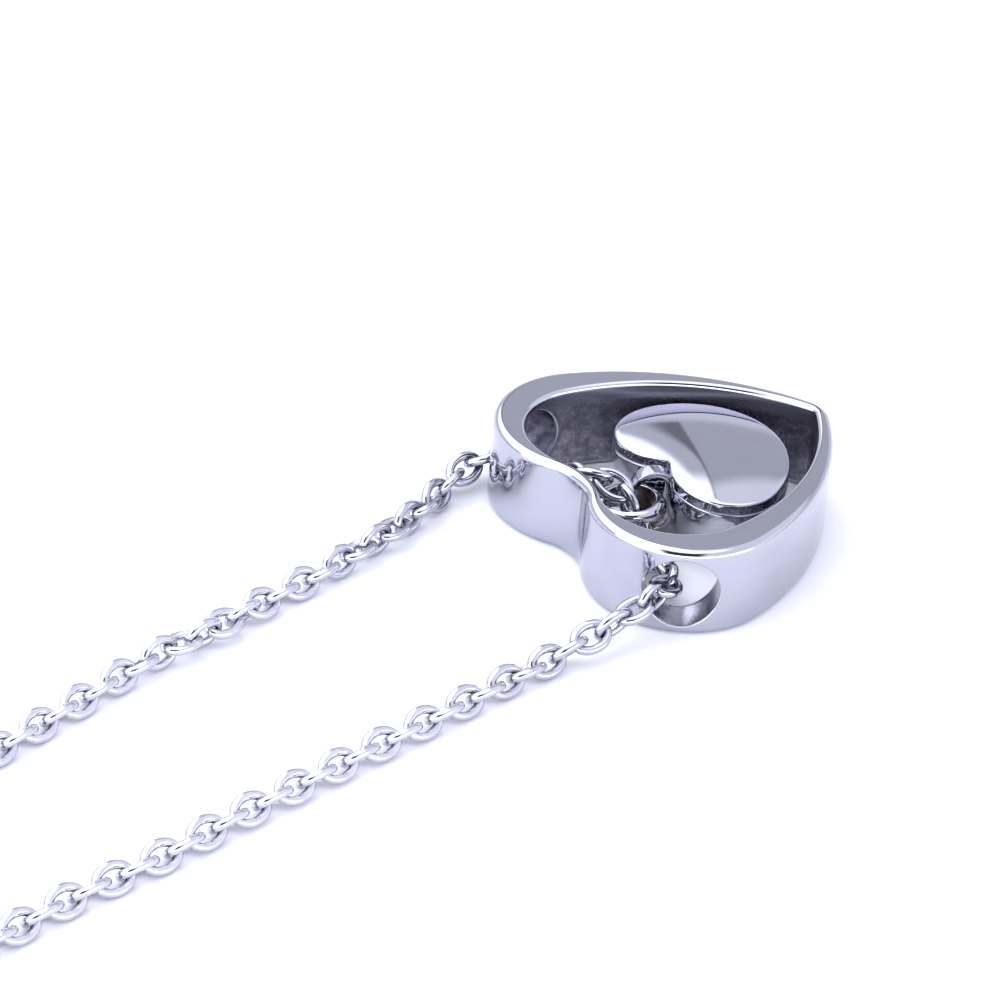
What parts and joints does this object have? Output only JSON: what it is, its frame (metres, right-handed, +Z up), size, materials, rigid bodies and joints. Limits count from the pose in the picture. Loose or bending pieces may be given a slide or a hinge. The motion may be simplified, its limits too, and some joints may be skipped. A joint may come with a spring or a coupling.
{
  "type": "keepsake urn pendant",
  "caption": "Heart pendant with a small hollow heart urn hung inside an open heart band on a cable chain that runs through both lobes and a bail.",
  "frame": {"origin": "on the surface that it lies on, under the middle of the whole laid object", "axes": "+Z up from the surface through the open heart, +X towards the heart's tip and away from the clasp, +Y across the heart"},
  "size_m": [0.2271, 0.0926, 0.0057],
  "materials": {
    "polished_steel": "mirror polished stainless steel",
    "chain_steel": "polished stainless steel wire",
    "screw_steel": "turned stainless steel"
  },
  "bodies": {
    "root": {"outer_heart": "polished_steel", "urn_heart": "polished_steel", "fill_screw": "screw_steel", "bail": "polished_steel", "chain_links": "chain_steel", "chain_back": "chain_steel", "clasp": "polished_steel"}
  },
  "joints": []
}
